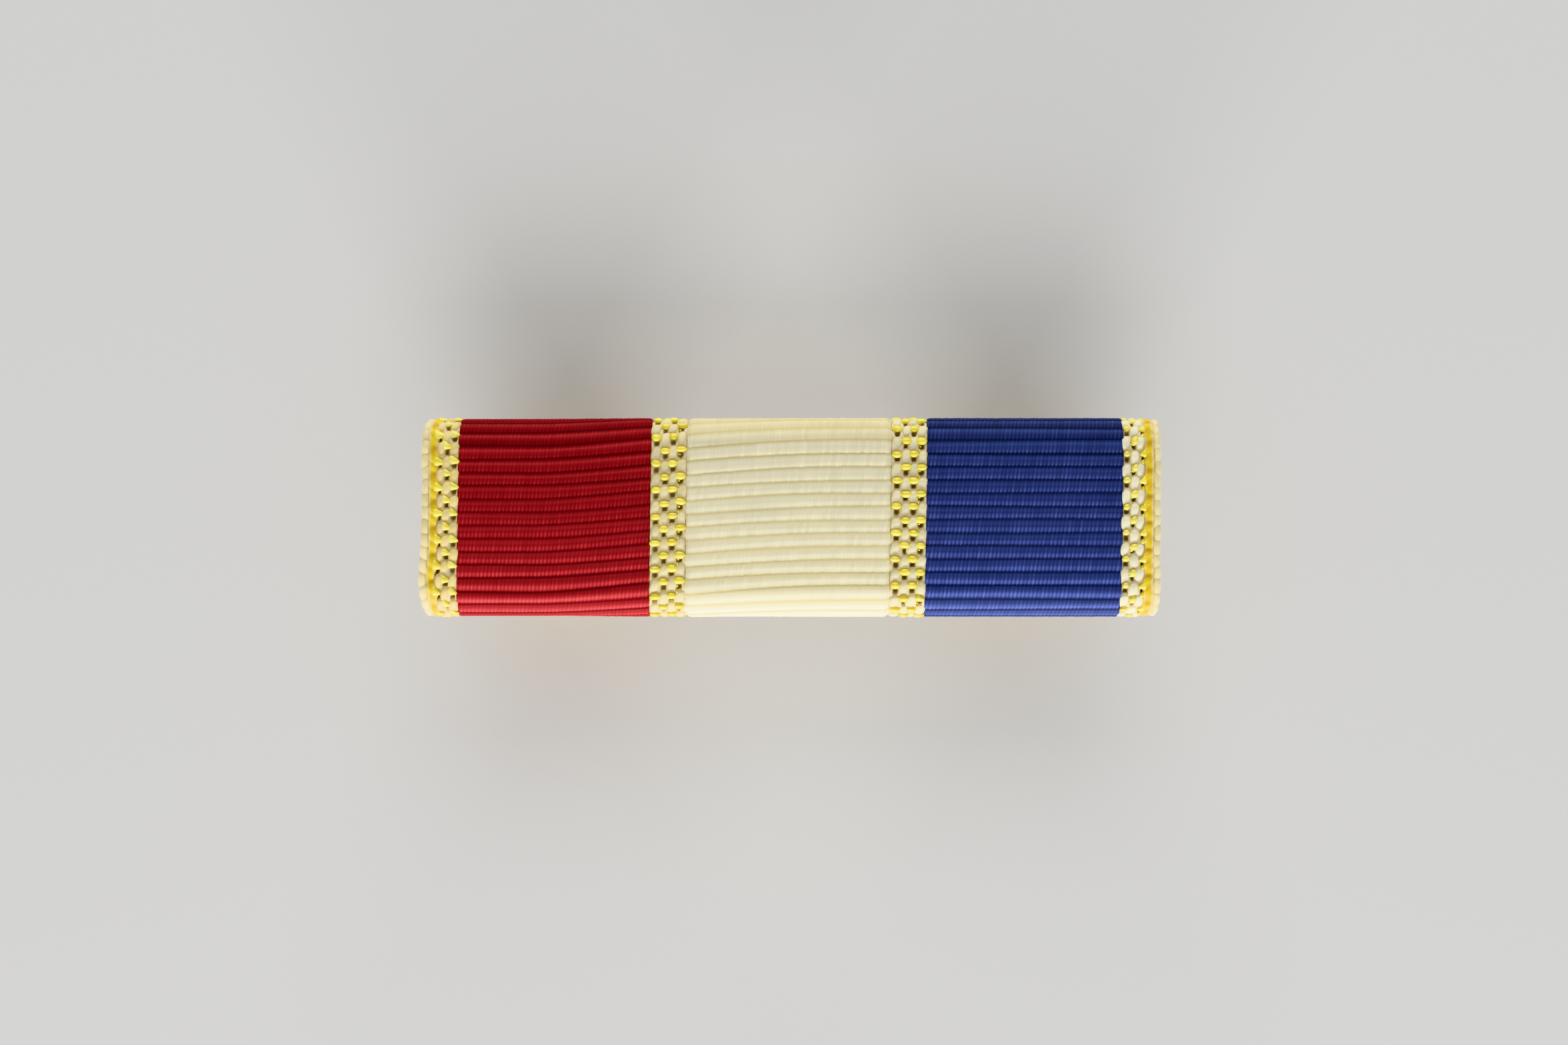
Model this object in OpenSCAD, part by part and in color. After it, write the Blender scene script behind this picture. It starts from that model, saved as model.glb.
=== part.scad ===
// Ribbon bar: a striped woven ribbon wound round a thin metal plate, with a back plate
// whose two posts go through a garment and are held by a clutch each.
// It lies on its two clutches with the ribbon's face up. X runs along the bar, from the
// red side to the blue side, Y across the bar, and z = 0 is the underside of the clutches.

/* [Ribbon stripes] */
// Width of each edge band, selvedge included
edge_w = 1.78; // [1.4:0.02:2.4]
// Width of the red stripe
red_w = 9.14; // [6:0.02:14]
// Width of each open gold band between the stripes
gold_w = 1.68; // [1.2:0.01:2.4]
// Width of the white stripe
white_w = 9.63; // [6:0.01:14]
// Width of the blue stripe
blue_w = 9.23; // [6:0.01:14]
// Hairline between two stripes of the weave
stripe_gap = 0.04; // [0.02:0.01:0.08]

/* [Ribbon wrap] */
// Height of the wrapped bar, over the crests of its ribs
bar_h = 9.52; // [8:0.02:14]
// Thickness of the ribbon at the crest of a rib
cloth_t = 1.0; // [0.9:0.05:1.5]
// Distance from one rib to the next on the flat face
rib_pitch = 0.62; // [0.55:0.01:0.7]
// How far neighbouring ribs run into each other
rib_merge = 0.04; // [0.02:0.01:0.08]
// Depth below the crests at which the ribs keep their pitch round the edge
cord_depth = 0.18; // [0.1:0.01:0.3]
// Space between the ribbon's two ends on the back
fold_gap = 1.6; // [1:0.1:3]

/* [Gold weave] */
// Columns of gold floats in an open gold band
gold_columns = 4; // [3:1:5]
// Columns of gold floats in an edge band
edge_columns = 3; // [2:1:4]
// Radius of a gold float's back
float_r = 0.28; // [0.22:0.01:0.3]
// How far the floats stand above the ground weave
float_rise = 0.14; // [0.08:0.01:0.2]
// Space between two columns of floats
column_gap = 0.08; // [0.04:0.01:0.12]
// Width of the looped selvedge at the outer edge
selvedge_w = 0.36; // [0.3:0.01:0.5]
// Width of the smooth silk column beside the selvedge
silk_w = 0.32; // [0.25:0.01:0.45]
// How far the silk column lies below the crests of the ribs
silk_drop = 0.08; // [0.04:0.01:0.15]

/* [Plates] */
// Thickness of the plate inside the ribbon
core_t = 0.8; // [0.6:0.05:1.2]
// How far the inner plate stays short of the ribbon's edge at each end
core_inset = 0.3; // [0.2:0.05:0.8]
// Clearance between the ribbon and the plates on both sides of it
wrap_gap = 0.05; // [0.03:0.01:0.1]
// Thickness of the back plate
back_t = 0.6; // [0.5:0.05:1]
// How far the back plate stays short of the ribbon's edge at each end
back_inset = 2; // [1:0.1:4]
// How far the back plate stays short of the bar's long edges
back_margin = 1.5; // [1.2:0.1:2.5]
// Radius of the back plate's corners
back_corner_r = 0.9; // [0.4:0.1:1.5]

/* [Posts] */
// Distance between the two posts
post_spacing = 22; // [16:0.5:26]
// Radius of a post
post_r = 0.5; // [0.4:0.05:0.6]
// Length of a post below the back plate, with its point
post_l = 5.4; // [4.5:0.1:8]
// Length of a post's point
point_l = 1.1; // [0.6:0.1:1.5]
// Radius of the blunt tip of the point
tip_r = 0.12; // [0.08:0.01:0.2]
// Width of the solder fillet round a post
solder_w = 0.25; // [0.15:0.05:0.4]
// Height of the solder fillet
solder_h = 0.2; // [0.1:0.05:0.2]

/* [Clutches] */
// Room for a garment's cloth between the back plate and a clutch
garment_gap = 0.3; // [0.25:0.05:1]
// Diameter of a clutch's flange, which bears on the cloth
flange_d = 8.6; // [7:0.1:9.2]
// Thickness of the flange
flange_t = 0.8; // [0.6:0.1:1.2]
// Diameter of a clutch's body
body_d = 6.8; // [6.2:0.1:7.4]
// Diameter of the neck between the flange and the body
neck_d = 5.6; // [4:0.1:6]
// Height of the neck
neck_h = 0.5; // [0.3:0.1:0.8]
// Radius of the body's lower rim
rim_r = 0.9; // [0.5:0.1:1.2]
// Radial clearance of a post in its clutch
bore_gap = 0.05; // [0.03:0.01:0.1]
// Space between a post's tip and the end of the clutch's bore
tip_gap = 0.15; // [0.1:0.05:0.4]
// Thickness of the clutch's bottom below the bore
clutch_floor = 0.6; // [0.5:0.1:1.2]
// Widening of the bore at its mouth
mouth_w = 0.4; // [0.3:0.05:0.6]

/* [Hidden] */
$fn = 64;

// Layers outwards from the middle plane of the inner plate
core_r = core_t / 2;
cloth_in = core_r + wrap_gap;
cloth_out = cloth_in + cloth_t;
rib_r = (rib_pitch + rib_merge) / 2;
rib_at = cloth_out - rib_r;
// The body of the cloth reaches just past the middles of the ribs
cloth_body = rib_at + rib_merge;
ground_at = rib_at - float_rise;

// The path of the ribbon from the middle of its face, round a long edge, to its end
flat_half = bar_h / 2 - cloth_out;
turn_r = cloth_out - cord_depth;
turn_l = PI * turn_r;
end_y = fold_gap / 2;
path_half = 2 * flat_half + turn_l - end_y;
ribs_half = floor((path_half - rib_r) / rib_pitch);

// Stripes from the red end to the blue end, each with its width
STRIPES = [
    ["left edge", edge_w],
    ["red", red_w],
    ["left gold", gold_w],
    ["white", white_w],
    ["right gold", gold_w],
    ["blue", blue_w],
    ["right edge", edge_w]
];
ribbon_w = width_before(len(STRIPES));

// Heights, from the underside of the clutches up
bore_depth = post_l - garment_gap + tip_gap;
clutch_h = clutch_floor + bore_depth;
back_z = clutch_h + garment_gap;
mid_z = back_z + back_t + wrap_gap + cloth_out;

function width_before(i) = i == 0 ? 0 : STRIPES[i - 1][1] + width_before(i - 1);
function index_of(name) = search([name], STRIPES)[0];
// Where a stripe's own weave starts, and its width, between the hairlines
function stripe_x(name) = width_before(index_of(name)) - ribbon_w / 2 + stripe_gap / 2;
function stripe_w(name) = STRIPES[index_of(name)][1] - stripe_gap;

// Place across the bar, as [y, z], of a point that lies s along the ribbon from the middle of
// its face and out above the middle plane
function turned(s, out) = let (angle = (s - flat_half) / turn_r * 180 / PI)
    [flat_half + out * sin(angle), out * cos(angle)];
function half_path(s, out) =
    s <= flat_half ? [s, out] :
    s <= flat_half + turn_l ? turned(s, out) :
    [2 * flat_half + turn_l - s, -out];
function on_path(s, out) = let (p = half_path(abs(s), out)) [s < 0 ? -p[0] : p[0], p[1]];

// Section of the bar across its length, out to a distance r from the middle plane
module slab_section(r) {
    square([2 * flat_half, 2 * r], center = true);
    for (side = [-1, 1])
        translate([side * flat_half, 0])
            circle(r);
}

// Section of the cloth out to a distance r, open between its ends on the back
module cloth_section(r) {
    difference() {
        slab_section(r);
        slab_section(cloth_in);
        translate([-end_y, -2 * cloth_out])
            square([2 * end_y, 2 * cloth_out]);
    }
}

// Section of ribbed cloth whose cords lie at a distance out
module rib_section(out) {
    cloth_section(cloth_body - (rib_at - out));
    for (i = [-ribs_half:ribs_half])
        translate(on_path(i * rib_pitch, out))
            circle(rib_r);
}

// Carries a section across the bar to a length l along X, from x
module along(x, l) {
    translate([x, 0, mid_z])
        rotate([90, 0, 90])
            linear_extrude(l)
                children();
}

// A plain ribbed stripe
module ribbed(name) {
    along(stripe_x(name), stripe_w(name))
        rib_section(rib_at);
}

// One column of gold floats on every second rib, starting with rib number first
module float_column(x, l, first) {
    for (i = [-ribs_half:ribs_half])
        if ((i + first) % 2 == 0) {
            p = on_path(i * rib_pitch, cloth_out - float_r);
            translate([x, p[0], mid_z + p[1]])
                rotate([0, 90, 0])
                    cylinder(r = float_r, h = l);
        }
}

// Columns of gold floats side by side from x over a width w, set in a chequer
module floats(x, w, columns, first) {
    step = w / columns;
    for (c = [0:columns - 1])
        float_column(x + c * step + column_gap / 2, step - column_gap, first + c);
}

// An open gold band between two stripes
module gold_band(name, first) {
    x = stripe_x(name);
    w = stripe_w(name);
    along(x, w)
        rib_section(ground_at);
    floats(x, w, gold_columns, first);
}

// The edge band at the left end: looped selvedge, smooth silk column, then gold floats
module left_edge() {
    x = -ribbon_w / 2;
    w = edge_w - stripe_gap / 2;
    along(x, w)
        rib_section(ground_at);
    along(x + column_gap, selvedge_w - column_gap)
        rib_section(rib_at);
    along(x + selvedge_w + column_gap / 2, silk_w)
        cloth_section(cloth_out - silk_drop);
    floats_x = selvedge_w + silk_w + column_gap;
    floats(x + floats_x, w - floats_x, edge_columns, 0);
}

// The plate inside the ribbon, with rounded long edges
module core_plate() {
    color("peru")
        along(core_inset - ribbon_w / 2, ribbon_w - 2 * core_inset)
            slab_section(core_r);
}

module rounded_plate(l, w, t, r) {
    linear_extrude(t)
        union() {
            square([l - 2 * r, w], center = true);
            square([l, w - 2 * r], center = true);
            for (sx = [-1, 1], sy = [-1, 1])
                translate([sx * (l / 2 - r), sy * (w / 2 - r)])
                    circle(r);
        }
}

// A pointed post that hangs from z = 0, with the solder round its root
module post() {
    shank = post_l - point_l;
    translate([0, 0, -shank])
        cylinder(r = post_r, h = shank + back_t / 2);
    translate([0, 0, -post_l])
        cylinder(r1 = tip_r, r2 = post_r, h = point_l);
    translate([0, 0, -solder_h])
        cylinder(r1 = post_r, r2 = post_r + solder_w, h = solder_h);
}

// The plate on the ribbon's back with its two posts, soldered into one
module back_plate() {
    color("darkgoldenrod") {
        translate([0, 0, back_z])
            rounded_plate(ribbon_w - 2 * back_inset, bar_h - 2 * back_margin, back_t, back_corner_r);
        for (side = [-1, 1])
            translate([side * post_spacing / 2, 0, back_z])
                post();
    }
}

// Half section of a clutch: body with a rounded lower rim, neck, and flange on top
module clutch_section() {
    body_h = clutch_h - flange_t - neck_h;
    square([body_d / 2 - rim_r, body_h]);
    translate([0, rim_r])
        square([body_d / 2, body_h - rim_r]);
    translate([body_d / 2 - rim_r, rim_r])
        circle(rim_r);
    square([neck_d / 2, clutch_h]);
    translate([0, clutch_h - flange_t])
        square([flange_d / 2, flange_t]);
}

// A clutch, which a post's point enters from above
module clutch(side) {
    bore_r = post_r + bore_gap;
    color("goldenrod")
        translate([side * post_spacing / 2, 0, 0])
            difference() {
                rotate_extrude()
                    clutch_section();
                translate([0, 0, clutch_floor])
                    cylinder(r = bore_r, h = clutch_h);
                translate([0, 0, clutch_h - mouth_w])
                    cylinder(r1 = bore_r, r2 = bore_r + 2 * mouth_w, h = 2 * mouth_w);
            }
}

module clutch_left() { clutch(-1); }
module clutch_right() { clutch(1); }
module edge_band_left() { color("gold") left_edge(); }
module edge_band_right() { color("gold") mirror([1, 0, 0]) left_edge(); }
module gold_band_left() { color("gold") gold_band("left gold", 1); }
module gold_band_right() { color("gold") gold_band("right gold", 0); }
module red_stripe() { color("firebrick") ribbed("red"); }
module white_stripe() { color("ivory") ribbed("white"); }
module blue_stripe() { color("royalblue") ribbed("blue"); }

core_plate();
back_plate();
clutch_left();
clutch_right();
edge_band_left();
red_stripe();
gold_band_left();
white_stripe();
gold_band_right();
blue_stripe();
edge_band_right();
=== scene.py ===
"""Ribbon bar: a striped, gold-edged ribbon wound round a brass plate, face up on its two clutches."""

import math

import bpy
import numpy as np
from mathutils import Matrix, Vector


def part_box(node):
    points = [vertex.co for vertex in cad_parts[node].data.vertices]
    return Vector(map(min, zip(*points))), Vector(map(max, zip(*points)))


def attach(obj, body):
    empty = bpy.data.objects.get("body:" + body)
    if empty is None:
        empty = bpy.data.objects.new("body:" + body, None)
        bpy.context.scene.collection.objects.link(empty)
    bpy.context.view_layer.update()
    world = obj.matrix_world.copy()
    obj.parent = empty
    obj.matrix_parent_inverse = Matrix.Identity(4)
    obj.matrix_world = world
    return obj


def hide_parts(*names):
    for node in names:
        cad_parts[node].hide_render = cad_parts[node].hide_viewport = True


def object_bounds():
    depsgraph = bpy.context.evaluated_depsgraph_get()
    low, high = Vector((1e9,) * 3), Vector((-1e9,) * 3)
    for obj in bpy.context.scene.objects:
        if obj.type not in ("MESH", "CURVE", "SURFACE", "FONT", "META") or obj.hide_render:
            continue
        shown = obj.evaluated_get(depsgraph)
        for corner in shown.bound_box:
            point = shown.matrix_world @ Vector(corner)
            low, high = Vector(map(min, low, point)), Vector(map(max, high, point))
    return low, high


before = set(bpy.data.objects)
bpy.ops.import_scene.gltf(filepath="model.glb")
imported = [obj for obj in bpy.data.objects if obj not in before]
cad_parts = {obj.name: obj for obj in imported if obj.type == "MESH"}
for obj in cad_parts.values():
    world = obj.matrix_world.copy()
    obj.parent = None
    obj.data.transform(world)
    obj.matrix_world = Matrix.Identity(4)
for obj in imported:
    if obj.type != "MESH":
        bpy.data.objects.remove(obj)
cad_low, cad_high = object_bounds()
MM = 0.001  # the ribbon's lengths are in millimetres, and this turns them into metres
rng = np.random.default_rng(41)


# The camera, straight above the ribbon's face

FRAME_WIDTH = 74.01  # what the picture's 2352 pixels span at the face
EYE_X, EYE_Y = -0.33, -0.24  # the picture's centre, from the bar's middle
EYE_HEIGHT = 130.0  # above the face
SENSOR_WIDTH = 36.0

camera = bpy.data.objects.new("camera", bpy.data.cameras.new("camera"))
bpy.context.scene.collection.objects.link(camera)
camera.location = (EYE_X * MM, EYE_Y * MM, (cad_high.z / MM + EYE_HEIGHT) * MM)
camera.data.sensor_width = SENSOR_WIDTH
camera.data.lens = SENSOR_WIDTH * EYE_HEIGHT / FRAME_WIDTH
camera.data.clip_start = 0.005
camera.data.clip_end = 5.0
bpy.context.scene.camera = camera


# Shader maths

MIX_SHARE, MIX_FIRST, MIX_SECOND, MIX_RESULT = 0, 6, 7, 2  # the Mix node's sockets for colours


class Wire:
    """One output of a material's nodes. Arithmetic on it adds the Math nodes."""

    def __init__(self, paint, socket):
        self.paint = paint
        self.socket = socket

    def _math(self, operation, a, b):
        return self.paint.add("ShaderNodeMath", "Value", {"operation": operation}, {0: a, 1: b})

    def __add__(self, other):
        return self._math("ADD", self, other)

    def __radd__(self, other):
        return self._math("ADD", other, self)

    def __sub__(self, other):
        return self._math("SUBTRACT", self, other)

    def __rsub__(self, other):
        return self._math("SUBTRACT", other, self)

    def __mul__(self, other):
        return self._math("MULTIPLY", self, other)

    def __rmul__(self, other):
        return self._math("MULTIPLY", other, self)

    def fraction(self):
        return self._math("FRACT", self, 0.0)

    def size(self):
        return self._math("ABSOLUTE", self, 0.0)


class Paint:
    """A material: its node tree and the Principled shader that it feeds."""

    def __init__(self, name, **fixed):
        self.material = bpy.data.materials.new(name)
        self.material.use_nodes = True
        self.tree = self.material.node_tree
        self.shader = self.tree.nodes["Principled BSDF"]
        for socket, value in fixed.items():
            self.feed(socket.replace("_", " "), value)

    def feed(self, socket, value):
        """Sets a socket of the shader, or links a wire to it."""
        self._fill(self.shader.inputs[socket], value)

    def _fill(self, socket, value):
        if isinstance(value, Wire):
            self.tree.links.new(value.socket, socket)
        elif isinstance(value, tuple) and len(value) == 3 and socket.type == "RGBA":
            socket.default_value = (*value, 1.0)
        else:
            socket.default_value = value

    def add(self, kind, output, settings=None, values=None):
        """Adds a node: first its settings, then its sockets' values or wires. Returns the named output."""
        node = self.tree.nodes.new(kind)
        for name, setting in (settings or {}).items():
            setattr(node, name, setting)
        for name, value in (values or {}).items():
            self._fill(node.inputs[name], value)
        return Wire(self, node.outputs[output])

    def blend(self, share, first, second):
        """A colour from first to second, as share goes from 0 to 1."""
        return self.add(
            "ShaderNodeMix",
            MIX_RESULT,
            {"data_type": "RGBA", "clamp_factor": True},
            {MIX_SHARE: share, MIX_FIRST: first, MIX_SECOND: second},
        )

    def tint(self, colour, strength):
        """A colour times a number."""
        values = {0: colour, "Scale": strength}
        return self.add("ShaderNodeVectorMath", "Vector", {"operation": "SCALE"}, values)

    def mark(self, name):
        """A number that the mesh carries at each of its points, or 0 where it carries none of that name."""
        return self.add("ShaderNodeAttribute", "Fac", {"attribute_name": name})

    def spot(self, stretch):
        """The place on the object in millimetres, each axis times its stretch."""
        where = self.add("ShaderNodeTexCoord", "Object")
        values = {0: where, 1: tuple(s / MM for s in stretch)}
        return self.add("ShaderNodeVectorMath", "Vector", {"operation": "MULTIPLY"}, values)

    def noise(self, stretch, detail=2.0, roughness=0.5):
        """Soft noise from 0 to 1, with stretch features to the millimetre along each axis."""
        return self.add(
            "ShaderNodeTexNoise",
            "Fac",
            {},
            {"Vector": self.spot(stretch), "Scale": 1.0, "Detail": detail, "Roughness": roughness},
        )

    def step(self, value, low, high):
        """0 at low and 1 at high, smooth between them."""
        return self.add(
            "ShaderNodeMapRange",
            "Result",
            {"interpolation_type": "SMOOTHSTEP"},
            {"Value": value, "From Min": low, "From Max": high},
        )

    def relief(self, height, depth):
        """Bumps of that depth in millimetres."""
        values = {"Height": height, "Distance": depth * MM, "Strength": 1.0}
        self.feed("Normal", self.add("ShaderNodeBump", "Normal", {}, values))


# Finishes. On the face the yarns run along y, so their fibres' noise is fine along x and long along y and z


def silk_finish(name, bright, dark, gleam, gloss, painted_yarn_highlight, painted_groove_shade, streak):
    """Fine filament yarn: a painted highlight along each yarn's back, painted shade in the grooves and
    between the yarns. Its shade mark blends it from bright, the painted highlights' colour, to dark, the
    painted shade's, with its own colour between them. gleam and gloss are the shader's highlights' tint
    and level, and streak is how much the yarns' tones differ."""
    paint = Paint(name, Specular_IOR_Level=gloss, Specular_Tint=gleam)
    tone = paint.mark("tone")
    from_middle = (paint.mark("yarn").fraction() - 0.5).size()
    # painted highlight along each yarn's back, which leaves the gaps between the yarns darker
    line = paint.step(from_middle, 0.30, 0.04)
    shade = paint.mark("shade") - line * (tone * 0.05 + 0.14) * painted_yarn_highlight
    patch = paint.noise((0.5, 0.9, 0.9), 3.0)
    fibre = paint.noise((38.0, 1.6, 1.6), 2.0, 0.6)
    light = 0.88 + patch * 0.14 + tone * streak + (fibre - 0.5) * 0.14
    # painted shade in the grooves
    light = light * (1 - paint.mark("groove") * painted_groove_shade)
    paint.feed("Base Color", paint.tint(paint.blend(shade, bright, dark), light))
    paint.feed("Roughness", 0.6 + (fibre - 0.5) * 0.14)
    paint.relief(fibre, 0.006)
    return paint.material


def gold_thread_finish():
    """Gilt foil wound on a core: lemon gold, with painted shade in mustard on each float's upper side,
    and pale where it is faded.
    """
    paint = Paint("gilt_thread", Specular_IOR_Level=0.6, Coat_Weight=0.3, Coat_Roughness=0.15)
    patch = paint.noise((3.0, 3.0, 3.0))
    turns = paint.noise((4.0, 22.0, 22.0))
    tone = paint.mark("tone")
    fade = paint.mark("fade")
    colour = paint.blend(paint.step(patch, 0.35, 0.7), (0.98, 0.84, 0.08), (1.0, 0.94, 0.18))
    # painted shade: mustard where the mesh's groove mark is, on each float's upper side
    colour = paint.blend(paint.mark("groove") * 0.55, colour, (0.62, 0.43, 0.02))
    colour = paint.blend(fade * 0.6, colour, (1.0, 0.92, 0.50))
    paint.feed("Base Color", paint.tint(colour, 0.96 + tone * 0.06 + (turns - 0.5) * 0.25))
    paint.feed("Roughness", 0.34 + patch * 0.14)
    paint.feed("Metallic", 0.3 - fade * 0.3)
    paint.relief(turns, 0.008)
    return paint.material


def cotton_finish(name, thread, shade, pit_colour=None):
    """Matt spun yarn, with painted shade in its grooves, creases and rims, and in places its own deeper tint.
    pit_colour is for a mesh that also carries a mark for pits: painted shade in the ground's pits, and the
    pale yarn over the silk column's sides.
    """
    paint = Paint(name, Specular_IOR_Level=0.3, Sheen_Weight=0.15, Sheen_Roughness=0.5)
    fibre = paint.noise((22.0, 2.2, 2.2), 3.0, 0.6)
    patch = paint.noise((1.1, 1.1, 1.1))
    colour = paint.blend(paint.mark("groove"), thread, shade)
    if pit_colour:
        colour = paint.blend(paint.mark("pit"), colour, pit_colour)
    light = 0.86 + patch * 0.14 + paint.mark("tone") * 0.05 + (fibre - 0.5) * 0.2
    paint.feed("Base Color", paint.tint(colour, light))
    paint.feed("Roughness", 0.55 + fibre * 0.25)
    paint.relief(fibre, 0.03)
    return paint.material


def brass_finish(name, colour, tarnish, rough, grain, scratch):
    """Brass with light scuffs and faint tarnish. grain is its lines to the millimetre along each axis."""
    paint = Paint(name, Metallic=1.0)
    lines = paint.noise(grain, 3.0, 0.65)
    cloud = paint.noise((0.25, 0.25, 0.25), 4.0, 0.6)
    scuff = paint.step(paint.noise((1.3, 5.0, 1.3), 4.0, 0.7), 0.58, 0.7)
    aged = paint.step(cloud, 0.42, 0.72)
    paint.feed("Base Color", paint.tint(paint.blend(aged, colour, tarnish), 0.92 + lines * 0.14))
    paint.feed("Roughness", rough + aged * 0.14 + scuff * 0.1 + (lines - 0.5) * 0.14)
    paint.relief(lines + scuff * 0.4, scratch)
    return paint.material


# Each silk's bright colour is the colour of its painted highlights and its dark one that of its painted
# shade; its own colour lies between them
red_silk = silk_finish(
    "red_silk",
    bright=(0.62, 0.078, 0.086),
    dark=(0.195, 0.009, 0.012),
    gleam=(0.9, 0.35, 0.35),
    gloss=0.15,
    painted_yarn_highlight=0.52,
    painted_groove_shade=0.50,
    streak=0.045,
)
white_silk = silk_finish(
    "white_silk",
    bright=(0.93, 0.915, 0.77),
    dark=(0.73, 0.64, 0.34),
    gleam=(1.0, 1.0, 0.95),
    gloss=0.22,
    painted_yarn_highlight=0.20,
    painted_groove_shade=0.06,
    streak=0.025,
)
blue_silk = silk_finish(
    "blue_silk",
    bright=(0.125, 0.175, 0.55),
    dark=(0.037, 0.043, 0.105),
    gleam=(0.2, 0.3, 1.0),
    gloss=0.14,
    painted_yarn_highlight=0.88,
    painted_groove_shade=0.50,
    streak=0.05,
)
gilt_thread = gold_thread_finish()
# Each yarn's shade colour is its painted shade colour, and in places its own deeper tint
cream_yarn = cotton_finish("cream_yarn", thread=(0.91, 0.81, 0.50), shade=(0.74, 0.57, 0.27))
pale_yarn = cotton_finish("pale_yarn", thread=(0.92, 0.86, 0.58), shade=(0.74, 0.60, 0.31))
white_yarn = cotton_finish("white_yarn", thread=(0.98, 0.94, 0.70), shade=(0.76, 0.64, 0.36))
warm_yarn = cotton_finish("warm_yarn", thread=(0.93, 0.77, 0.36), shade=(0.75, 0.54, 0.19))
edge_yarn = cotton_finish("edge_yarn", thread=(0.95, 0.84, 0.49), shade=(0.76, 0.57, 0.21))
ground_yarn = cotton_finish(
    "ground_yarn",
    thread=(0.88, 0.77, 0.50),
    shade=(0.77, 0.62, 0.33),
    # painted shade in the pits of the open weave
    pit_colour=(0.25, 0.17, 0.055),
)
mustard_silk = cotton_finish(
    "mustard_silk",
    thread=(0.96, 0.74, 0.05),
    shade=(0.68, 0.42, 0.02),
    pit_colour=(0.98, 0.88, 0.50),
)
rolled_brass = brass_finish(
    "rolled_brass",
    colour=(0.62, 0.46, 0.24),
    tarnish=(0.40, 0.29, 0.15),
    rough=0.42,
    grain=(0.6, 30.0, 30.0),
    scratch=0.012,
)
brushed_brass = brass_finish(
    "brushed_brass",
    colour=(0.78, 0.60, 0.32),
    tarnish=(0.58, 0.42, 0.20),
    rough=0.30,
    grain=(0.5, 26.0, 26.0),
    scratch=0.010,
)
polished_brass = brass_finish(
    "polished_brass",
    colour=(0.86, 0.66, 0.34),
    tarnish=(0.66, 0.47, 0.22),
    rough=0.16,
    grain=(3.0, 3.0, 18.0),
    scratch=0.004,
)


# The ribbon's path round the core plate

core_low, core_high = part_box("core_plate")
MID_Z = (core_low.z + core_high.z) / 2 / MM
CORE_R = (core_high.z - core_low.z) / 2 / MM
FLAT_HALF = core_high.y / MM - CORE_R  # from the middle of the face to where the cloth starts to turn
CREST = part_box("red_stripe")[1].z / MM - MID_Z  # how far out the CAD's ribs reach
CLOTH_IN = CREST - 1.0  # the cloth is a millimetre thick
TURN_R = 1.27  # the radius at which the winding is measured on its two turns
TURN_LENGTH = math.pi * TURN_R
END_Y = 0.8  # from the middle of the back to each cut end
PATH_HALF = 2 * FLAT_HALF + TURN_LENGTH - END_Y
END_MARGIN = 0.06  # how far before the cut ends the cords and the ribs' rows stop

RIB = 0.62  # from one rib to the next
RIBS = range(-20, 22)  # enough to reach both cut ends
GROOVE_AT = -0.378  # where groove 0 lies across the bar, at its left end
YARN = 0.183  # from one warp yarn to the next
JOIN = 0.02  # half the hairline between two stripes

CROWN = 0.20  # how far the padded face swells in its middle
CROWN_PAST = 1.2  # how far the swelling goes on past the flat face

# The stripes lie a little off their straight lines: by LEAN_BY at the places LEAN_AT along the bar, and by
# SLANT more to the left for each millimetre down the face. The slant fades out over SLANT_FADES towards
# the bar's ends, and both fade out over LEAN_FADES along the winding.
LEAN_AT = (-17.2, -15.7, -6.5, 6.4, 15.7, 17.2)
LEAN_BY = (0.0, -0.055, -0.125, -0.05, -0.03, 0.0)
SLANT = 0.015
SLANT_FADES = (15.7, 17.2)
LEAN_FADES = (4.5, 7.5)

CLIMB = 0.9  # how much higher the ribs lie at the right than at the left
CLIMB_FROM = -12  # where along the bar the climb starts
CLIMB_LENGTH = 15
CLIMB_FADES = (5.6, PATH_HALF - 0.1)  # over this stretch of the winding the ribs come level again


def smooth(low, high, v):
    """0 at low and 1 at high, smooth between them."""
    t = np.clip((np.asarray(v, float) - low) / (high - low), 0, 1)
    return t * t * (3 - 2 * t)


def swell(at, width, v):
    """1 at that place, falling off softly on both sides of it."""
    return np.exp(-(((v - at) / width) ** 2))


def place(x, s, out):
    """Points in metres, from x along the bar, s along the winding from the middle of the face, and out."""
    x, s, out = np.broadcast_arrays(*(np.asarray(v, float) for v in (x, s, out)))
    far = np.abs(s)
    lean = np.interp(x, LEAN_AT, LEAN_BY) + SLANT * s * np.interp(np.abs(x), SLANT_FADES, (1, 0))
    x = x + lean * (1 - smooth(*LEAN_FADES, far))
    turn = np.clip((far - FLAT_HALF) / TURN_R, 0, math.pi)
    back = np.maximum(far - FLAT_HALF - TURN_LENGTH, 0)
    out = out + CROWN * np.cos(math.pi / 2 * np.minimum(far / (FLAT_HALF + CROWN_PAST), 1)) ** 1.5
    y = np.sign(s) * (np.minimum(far, FLAT_HALF) + out * np.sin(turn) - back)
    z = MID_Z + out * np.cos(turn)
    return np.stack([x, y, z], -1) * MM


def bowed(x, u):
    """Where along the winding the ribs' place u lies at x. They climb to the right and waver a little."""
    t = np.clip((np.asarray(x, float) - CLIMB_FROM) / CLIMB_LENGTH, 0, 1) ** 0.8
    rise = CLIMB * t * t * (3 - 2 * t)
    rise = rise + 0.016 * np.sin(3.3 * u + 0.31 * x + 1.0) + 0.012 * np.sin(5.6 * u - 0.47 * x)
    return u + rise * (1 - smooth(*CLIMB_FADES, np.abs(u)))


def groove_u(k):
    """Where groove k lies at the bar's left end."""
    return GROOVE_AT + RIB * k


# Meshes


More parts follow.
